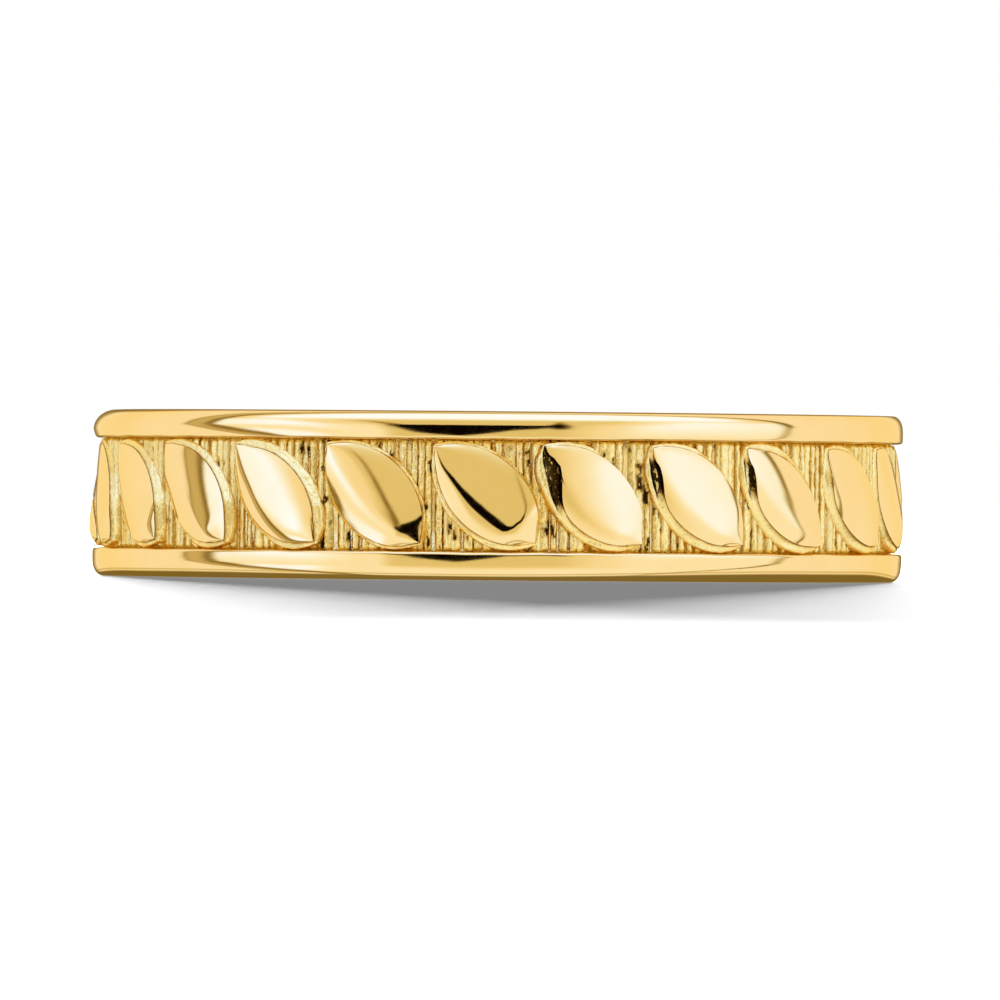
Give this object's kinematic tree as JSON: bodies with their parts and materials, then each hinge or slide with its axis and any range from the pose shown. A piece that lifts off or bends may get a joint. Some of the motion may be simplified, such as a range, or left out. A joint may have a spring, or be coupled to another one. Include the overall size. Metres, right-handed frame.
{
  "type": "toe ring",
  "caption": "Open gold toe ring: a flat band with two plain rails, a sunk lined field between them, raised slanting domed leaves and a plain split shank.",
  "frame": {"origin": "middle of the bore, on its axis and halfway across the width of the band", "axes": "+Z along the ring's axis, so the ring lies on its side; -Y towards the middle leaf at the front, +Y towards the opening at the back, +X to the right seen from the front"},
  "size_m": [0.0172, 0.0171, 0.0036],
  "materials": {
    "gold": "polished yellow gold"
  },
  "bodies": {
    "root": {"band": "gold"}
  },
  "joints": []
}
